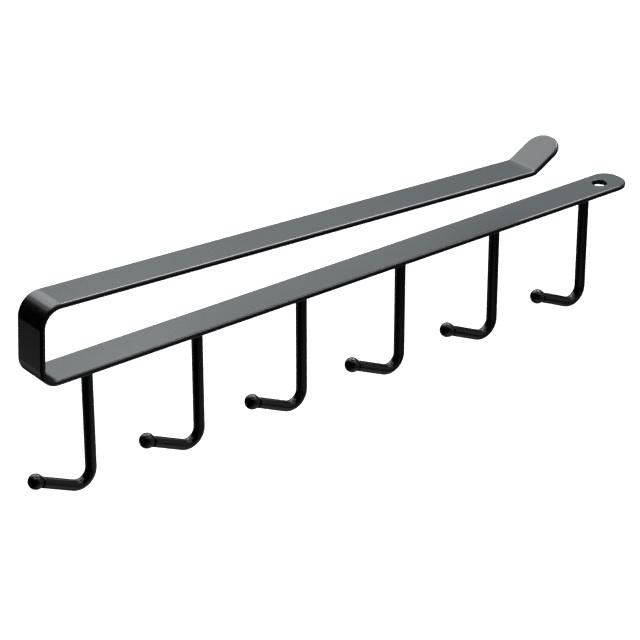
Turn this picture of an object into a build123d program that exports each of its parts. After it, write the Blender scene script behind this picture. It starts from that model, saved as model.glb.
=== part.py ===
from build123d import *
from math import asin, cos, degrees, radians, sin
import os

# A slide-on hook rail: one flat steel strip bent into a long clip that grips a shelf board,
# with a row of round-wire hooks welded under its lower arm and a ball on each hook's end.
# The origin is the middle of the hook row, on the face that lies against the board's underside.
# X runs along the strip towards its open end, Y across it, Z up. Millimetres and degrees.

# Strip section
strip_width = 18.0
strip_thickness = 2.5
edge_round = 0.9

# Hook row
hook_count = 6
hook_pitch = 56.0
front_overhang = 27.7
rear_overhang = 22.7

# Clip
board_gap = 32.0
wall_lean = 2.8
grip_slope = 2.6
low_bend = 6.0
top_bend = 7.5
grip_length = 265.0
tip_bend = 6.0
tip_rise = 32.0
tip_length = 20.5
end_round = 8.0

# Screw hole near the rear end
hole_diameter = 7.0
hole_from_end = 13.0
hole_rim_round = 0.3

# Hook wire
wire_diameter = 5.0
hook_drop = 58.5
hook_bend = 4.0
arm_slope = 24.5
arm_reach = 30.0
cut_rim_chamfer = 0.3
collar_width = 0.6
collar_height = 0.8

# Ball on the hook's end
ball_diameter = 7.0
weld_depth = 0.35

# Places that follow from the sizes
half_row = (hook_count - 1) * hook_pitch / 2
front_x = -half_row - front_overhang
rear_x = half_row + rear_overhang
hook_places = [index * hook_pitch - half_row for index in range(hook_count)]
wire_radius = wire_diameter / 2
ball_radius = ball_diameter / 2
touching = 1e-4


def step_from(start, angle, length):
    """The point a given length from start, at an angle above the X axis, in the XZ plane."""
    return start + Vector(cos(radians(angle)), 0, sin(radians(angle))) * length


def make_middle_line():
    """The strip's bent middle line, from the rear end round the front wall to the raised tip."""
    half = strip_thickness / 2
    rear = Vector(rear_x, 0, -half)
    low_corner = Vector(front_x + half, 0, -half)
    top_corner = step_from(low_corner, 90 - wall_lean, board_gap + strip_thickness)
    tip_corner = step_from(top_corner, -grip_slope, grip_length)
    tip = step_from(tip_corner, tip_rise - grip_slope, tip_length)
    radii = [low_bend + half, top_bend + half, tip_bend + half]
    return FilletPolyline(rear, low_corner, top_corner, tip_corner, tip, radius=radii)


def make_clip_strip():
    """One flat strip, bent, with rounded ends and rounded edges all round, and a screw hole."""
    line = make_middle_line()
    section = Plane(origin=line @ 0, x_dir=(0, 1, 0), z_dir=line % 0) * Rectangle(strip_width, strip_thickness)
    strip = sweep(section, path=line)

    def side_view_place(edge):
        middle = edge @ 0.5
        return Vertex(middle.X, 0, middle.Z)

    ends = [Vertex(*(line @ 0)), Vertex(*(line @ 1))]
    end_corners = [edge for edge in strip.edges()
                   if min(side_view_place(edge).distance_to(end) for end in ends) < touching]
    strip = fillet(end_corners, end_round)

    across = strip.edges().filter_by(Axis.Y).filter_by(lambda edge: edge.length > strip_width - touching)
    rims = [edge for edge in strip.edges() - across
            if abs(side_view_place(edge).distance_to(line) - strip_thickness / 2) < touching]
    strip = fillet(rims, edge_round)

    hole = Pos(rear_x - hole_from_end, 0, 0) * Cylinder(hole_diameter / 2, 3 * strip_thickness)
    strip -= hole
    hole_rims = strip.edges().filter_by(GeomType.CIRCLE).filter_by(
        lambda edge: abs(edge.radius - hole_diameter / 2) < touching and abs(edge.arc_center.Y) < touching)
    return fillet(hole_rims, hole_rim_round)


def hook_corner(place):
    """Where the wire's drop and its arm would meet without the bend."""
    return Vector(place, 0, -strip_thickness - hook_drop)


def make_hook_rod(place):
    """Round wire: a drop from the strip's underside, one bend, and an arm rising to the ball."""
    seat = Vector(place, 0, -strip_thickness)
    corner = hook_corner(place)
    cut_end = step_from(corner, 180 - arm_slope, arm_reach - ball_radius + weld_depth)
    line = FilletPolyline(seat, corner, cut_end, radius=hook_bend + wire_radius)
    wire = sweep(Plane(origin=seat, z_dir=(0, 0, -1)) * Circle(wire_radius), path=line)
    cut_rim = wire.edges().filter_by(GeomType.CIRCLE).filter_by(
        lambda edge: (edge.arc_center - cut_end).length < touching)
    return chamfer(cut_rim, cut_rim_chamfer) + make_weld_collar(seat)


def make_weld_collar(seat):
    """The ring of metal pressed out where the wire is butt-welded to the strip."""
    wide, low = wire_radius + collar_width, -collar_height
    hollow = (wire_radius + collar_width * (1 - cos(radians(45))), low * (1 - sin(radians(45))))
    edge = ThreePointArc((wide, 0), hollow, (wire_radius, low))
    rest = Polyline((wire_radius, low), (0, low), (0, 0), (wide, 0))
    return Pos(*seat) * revolve(Plane.XZ * make_face(edge + rest), axis=Axis.Z)


def make_ball_tip(place):
    """A ball with the small flat on which it is butt-welded to the wire's cut end."""
    centre = step_from(hook_corner(place), 180 - arm_slope, arm_reach)
    towards_wire = hook_corner(place) - centre
    flat_latitude = degrees(asin(1 - weld_depth / ball_radius))
    ball = Sphere(ball_radius, arc_size2=flat_latitude, align=Align.NONE)
    return Plane(origin=centre, z_dir=towards_wire) * ball


if __name__ == "__main__":
    os.makedirs("parts", exist_ok=True)
    export_step(make_clip_strip(), "parts/clip_strip.step")
    for number, place in enumerate(hook_places, start=1):
        export_step(make_hook_rod(place), f"parts/hook_rod_{number}.step")
        export_step(make_ball_tip(place), f"parts/ball_tip_{number}.step")
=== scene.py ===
import bpy
from math import cos, pi, radians, sin
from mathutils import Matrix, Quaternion, Vector


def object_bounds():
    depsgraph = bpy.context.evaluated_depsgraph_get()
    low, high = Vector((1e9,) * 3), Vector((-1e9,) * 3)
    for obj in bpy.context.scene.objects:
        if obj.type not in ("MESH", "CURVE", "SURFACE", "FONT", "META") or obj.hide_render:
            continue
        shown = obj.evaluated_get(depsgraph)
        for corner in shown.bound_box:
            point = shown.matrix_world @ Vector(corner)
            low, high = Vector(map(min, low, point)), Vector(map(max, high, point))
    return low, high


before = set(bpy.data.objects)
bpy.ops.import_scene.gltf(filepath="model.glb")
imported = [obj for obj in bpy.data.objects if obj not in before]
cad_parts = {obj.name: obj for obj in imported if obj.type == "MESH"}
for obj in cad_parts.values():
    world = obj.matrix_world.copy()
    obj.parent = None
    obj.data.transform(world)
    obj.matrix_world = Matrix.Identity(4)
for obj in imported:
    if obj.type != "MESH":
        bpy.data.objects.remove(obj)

# The rail hangs as it does under a shelf board: the strip on top, the hooks below it.
# Metres and degrees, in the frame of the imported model.

white = (1, 1, 1, 1)

# Camera, at the photograph's viewing angle, with its lens in millimetres
view_azimuth = -38.0
view_elevation = 27.0
camera_distance = 1.1769
focal_length = 149.6
aim_right = -0.0107
aim_up = -0.0103
farthest_seen = 100.0

# Lights, which all face the rail's middle: distance, turn from straight beyond the rail towards
# its open end, rise, roll, width, height, brightness of the face
lamps = {
    "bank_light": (1.6, 11.5, 50.0, 0.0, 0.98, 0.22, 3.4),
    "lower_bank_light": (1.6, 11.5, 38.6, 0.0, 0.98, 0.42, 2.3),
    "low_bank_light": (1.6, 36.2, 31.5, 0.0, 0.34, 0.36, 0.7),
    "edge_light": (1.5, 78.0, 56.0, -14.0, 0.85, 0.6, 13.0),
    "top_light": (1.3, -60.0, 80.0, 0.0, 0.9, 0.5, 1.8),
}
room_light = 0.12

# Coats: the first word of the nodes that have it, then name, tone, change of gloss, size of the
# orange peel
coats = {
    "clip": ("strip_coat", 0.009, 0.04, 0.0012),
    "hook": ("wire_coat", 0.008, 0.03, 0.0009),
    "ball": ("ball_coat", 0.008, 0.03, 0.0009),
}
coat_sheen = (0.96, 0.985, 1.0, 1.0)
coat_refraction = 1.55
coat_roughness = 0.2
# Its darkest and palest red, green and blue, as shares of the tone
coat_darkest = (0.85, 0.87, 0.9)
coat_palest = (1.15, 1.17, 1.2)
clouds_per_metre = 60.0
grains_per_metre = 2600.0
grain_gloss_change = 0.03
grain_height_share = 0.25
peel_strength = 0.15
peel_depth = 0.000013

# Stage
floor_drop = 0.30
floor_reach = 6.0
floor_shade = 0.8
card_above_floor = 0.05
card_reach = 4.0
# Walls above the card, black or glowing: from angle, to angle (from +X towards +Y), bottom, top,
# brightness of the glow, colour
card_walls = {
    "left_wall": (112.0, 288.0, 0.0, 9.0, 0.0, white),
    "right_wall": (288.0, 368.0, 0.0, 3.0, 0.22, white),
    "low_wall": (8.0, 112.0, 0.0, 1.54, 0.0, white),
    "cool_wall": (36.0, 68.0, 1.54, 3.6, 1.17, (0.88, 0.985, 1.0, 1)),
}
card_wall_step = 4.0
# Glowing patches on the card, which stand in for lit floor in the coat's reflections: first its
# glowing border, then the others: middle across, middle beyond, near distance from it, far
# distance, brightness within the near one, brightness outside the far one
card_glow_patches = [
    (-1.5, 1.5, 2.9, 3.6, 0.0, 0.3),
    (0.45, 0.05, 0.0, 0.55, 0.16, 0.0),
    (-0.42, 0.48, 0.0, 0.38, 0.24, 0.0),
    (0.0, -0.25, 0.0, 0.45, 0.4, 0.0),
]


class Value:
    """A node's output socket, on which + - and * add the Math nodes that work a number out."""

    def __init__(self, nodes, socket):
        self.nodes = nodes
        self.socket = socket

    def maths(self, operation, first, second):
        sockets = {0: first, 1: second}
        return self.nodes.add("ShaderNodeMath", {"operation": operation}, sockets, "Value")

    def __add__(self, other):
        return self.maths("ADD", self, other)

    def __radd__(self, other):
        return self.maths("ADD", other, self)

    def __sub__(self, other):
        return self.maths("SUBTRACT", self, other)

    def __rsub__(self, other):
        return self.maths("SUBTRACT", other, self)

    def __mul__(self, other):
        return self.maths("MULTIPLY", self, other)

    def __rmul__(self, other):
        return self.maths("MULTIPLY", other, self)


class Nodes:
    """An emptied node tree, to which add() adds one node at a time."""

    def __init__(self, owner):
        owner.use_nodes = True
        self.tree = owner.node_tree
        self.tree.nodes.clear()

    def add(self, kind, settings=None, sockets=None, output=0):
        """Adds a node, makes its settings, then fills its sockets with numbers or links."""
        node = self.tree.nodes.new(kind)
        for name, setting in (settings or {}).items():
            setattr(node, name, setting)
        for name, value in (sockets or {}).items():
            if isinstance(value, Value):
                self.tree.links.new(value.socket, node.inputs[name])
            else:
                node.inputs[name].default_value = value
        return Value(self, node.outputs[output]) if node.outputs else node


def make_material(name):
    """A new material and its emptied node tree."""
    material = bpy.data.materials.new(name)
    return material, Nodes(material)


def add_noise(nodes, place, scale, detail):
    """Soft random patches, from 0 to 1."""
    sockets = {"Vector": place, "Scale": scale, "Detail": detail}
    return nodes.add("ShaderNodeTexNoise", {}, sockets, "Fac")


def mix_colours(nodes, share, first, second):
    """A Mix node takes its colours at sockets 6 and 7, and gives the mixed one at output 2."""
    return nodes.add("ShaderNodeMix", {"data_type": "RGBA"}, {0: share, 6: first, 7: second}, 2)


def make_coat(name, tone, gloss_change, peel_size):
    """Black satin powder coat: near-black, faintly clouded, with a fine orange-peel surface."""
    material, nodes = make_material(name)
    place = nodes.add("ShaderNodeTexCoord", output="Object")
    cloud = add_noise(nodes, place, clouds_per_metre, detail=3.0)
    grain = add_noise(nodes, place, grains_per_metre, detail=1.0)
    peel = add_noise(nodes, place, 1 / peel_size, detail=2.0)
    darkest, palest = [
        (*(tone * share for share in shares), 1)
        for shares in (coat_darkest, coat_palest)]
    roughness = coat_roughness + (cloud - 0.5) * gloss_change + (grain - 0.5) * grain_gloss_change
    height = peel * (1 - grain_height_share) + grain * grain_height_share
    bump = nodes.add("ShaderNodeBump", {}, {
        "Strength": peel_strength, "Distance": peel_depth, "Height": height})
    surface = nodes.add("ShaderNodeBsdfPrincipled", {}, {
        "Base Color": mix_colours(nodes, cloud, darkest, palest),
        "Roughness": roughness,
        "Normal": bump,
        "IOR": coat_refraction,
        "Specular Tint": coat_sheen,
    })
    nodes.add("ShaderNodeOutputMaterial", {}, {"Surface": surface})
    return material


def coat_nodes():
    """Gives each node of the frame its coat."""
    made = {word: make_coat(*coat) for word, coat in coats.items()}
    for name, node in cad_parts.items():
        for slot in node.material_slots:
            slot.material = made[name.split("_")[0]]


def seen_ray(nodes):
    """1 for a ray that shows the background: to the camera, in a reflection or through glass."""
    camera, glossy, transmission = [
        nodes.add("ShaderNodeLightPath", output=name)
        for name in ("Is Camera Ray", "Is Glossy Ray", "Is Transmission Ray")]
    return camera + glossy + transmission


def make_world():
    """White where it is seen, and a weak even light otherwise."""
    world = bpy.data.worlds.new("white_room")
    nodes = Nodes(world)
    dim = nodes.add("ShaderNodeBackground", {}, {"Color": white, "Strength": room_light})
    bright = nodes.add("ShaderNodeBackground", {}, {"Color": white, "Strength": 1.0})
    mixed = nodes.add("ShaderNodeMixShader", {}, {0: seen_ray(nodes), 1: dim, 2: bright})
    nodes.add("ShaderNodeOutputWorld", {}, {"Surface": mixed})
    bpy.context.scene.world = world


def make_mesh(name, corners, faces, material):
    mesh = bpy.data.meshes.new(name)
    mesh.from_pydata(corners, [], faces)
    mesh.materials.append(material)
    thing = bpy.data.objects.new(name, mesh)
    bpy.context.scene.collection.objects.link(thing)
    return thing


def make_square(name, reach, height, material):
    """A level square round the origin, which reaches this far to each side."""
    corners = [
        (-reach, -reach, height), (reach, -reach, height),
        (reach, reach, height), (-reach, reach, height)]
    return make_mesh(name, corners, [(0, 1, 2, 3)], material)


def make_floor(height):
    """A pale floor that is lifted to white where it is seen, and keeps the shadow."""
    material, nodes = make_material("pale_floor")
    grey = (floor_shade, floor_shade, floor_shade, 1)
    pale = nodes.add("ShaderNodeBsdfDiffuse", {}, {"Color": grey})
    lift = nodes.add("ShaderNodeEmission", {}, {"Color": white, "Strength": seen_ray(nodes)})
    both = nodes.add("ShaderNodeAddShader", {}, {0: pale, 1: lift})
    nodes.add("ShaderNodeOutputMaterial", {}, {"Surface": both})
    make_square("floor", floor_reach, height, material)


def add_shine(nodes, colour, brightness):
    """A surface that only gives off light."""
    lit = nodes.add("ShaderNodeEmission", {}, {"Color": colour, "Strength": brightness})
    nodes.add("ShaderNodeOutputMaterial", {}, {"Surface": lit})


def make_table_card(height):
    """A black card with glowing patches that the coat picks up in its reflections, standing in for
    lit floor, and a glowing border far out.
    """
    material, nodes = make_material("table_card")
    place = nodes.add("ShaderNodeTexCoord", output="Object")
    flat = nodes.add("ShaderNodeVectorMath", {"operation": "MULTIPLY"}, {0: place, 1: (1, 1, 0)})
    shine = 0.0
    for across, beyond, near, far, inside, outside in card_glow_patches:
        ends = {0: flat, 1: (across, beyond, 0)}
        apart = nodes.add("ShaderNodeVectorMath", {"operation": "DISTANCE"}, ends, "Value")
        shine += nodes.add("ShaderNodeMapRange", {"interpolation_type": "SMOOTHSTEP"}, {
            "Value": apart, "From Min": near, "From Max": far, "To Min": inside, "To Max": outside})
    add_shine(nodes, shine, 1.0)
    return make_square("table_card", card_reach, height, material)


def make_wall(name, card_height, settings):
    """A curved wall above the card, between two angles and two heights, which only gives off light:
    black where its brightness is 0.
    """
    start, end, bottom, top, brightness, colour = settings
    material, nodes = make_material(name)
    add_shine(nodes, colour, brightness)
    count = round((end - start) / card_wall_step) + 1
    angles = [radians(start + card_wall_step * step) for step in range(count)]
    ring = [(card_reach * cos(angle), card_reach * sin(angle)) for angle in angles]
    corners = [(x, y, card_height + rise) for rise in (bottom, top) for x, y in ring]
    faces = [(step, step + 1, step + 1 + count, step + count) for step in range(count - 1)]
    return make_mesh(name, corners, faces, material)


def make_cards(card_height):
    """Dark and glowing cards below and around, unseen by the camera and casting no shadow: the
    black ones keep the coat's sides black, the glowing ones stand in for lit floor and room in its
    reflections.
    """
    cards = [make_table_card(card_height)]
    cards += [make_wall(name, card_height, settings) for name, settings in card_walls.items()]
    for card in cards:
        card.visible_camera = False
        card.visible_shadow = False
        card.visible_transmission = False


def make_lamp(name, middle, settings):
    """A rectangular light that faces the rail's middle."""
    distance, turn, rise, roll, width, height, brightness = settings
    turn, rise, roll = radians(turn), radians(rise), radians(roll)
    towards = Vector((sin(turn) * cos(rise), cos(turn) * cos(rise), sin(rise)))
    light = bpy.data.lights.new(name, "AREA")
    light.shape = "RECTANGLE"
    light.size = width
    light.size_y = height
    light.energy = brightness * pi * width * height
    lamp = bpy.data.objects.new(name, light)
    lamp.location = middle + towards * distance
    lamp.rotation_mode = "QUATERNION"
    lamp.rotation_quaternion = towards.to_track_quat("Z", "Y") @ Quaternion((0, 0, 1), roll)
    bpy.context.scene.collection.objects.link(lamp)


def make_camera(middle):
    """Stands off the rail at the photograph's viewing angle, and aims close to its middle."""
    turn, rise = radians(view_azimuth), radians(view_elevation)
    back = Vector((sin(turn) * cos(rise), -cos(turn) * cos(rise), sin(rise)))
    right = Vector((cos(turn), sin(turn), 0))
    up = back.cross(right)
    aim = middle + right * aim_right + up * aim_up
    lens = bpy.data.cameras.new("camera")
    lens.lens = focal_length
    lens.clip_end = farthest_seen
    camera = bpy.data.objects.new("camera", lens)
    camera.location = aim + back * camera_distance
    camera.rotation_mode = "QUATERNION"
    camera.rotation_quaternion = back.to_track_quat("Z", "Y")
    bpy.context.scene.collection.objects.link(camera)
    bpy.context.scene.camera = camera


cad_low, cad_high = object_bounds()
cad_middle = (cad_low + cad_high) / 2
floor_height = cad_low.z - floor_drop
bpy.context.scene.view_settings.view_transform = "Standard"
make_camera(cad_middle)
make_world()
for name, settings in lamps.items():
    make_lamp(name, cad_middle, settings)
make_floor(floor_height)
make_cards(floor_height + card_above_floor)
coat_nodes()
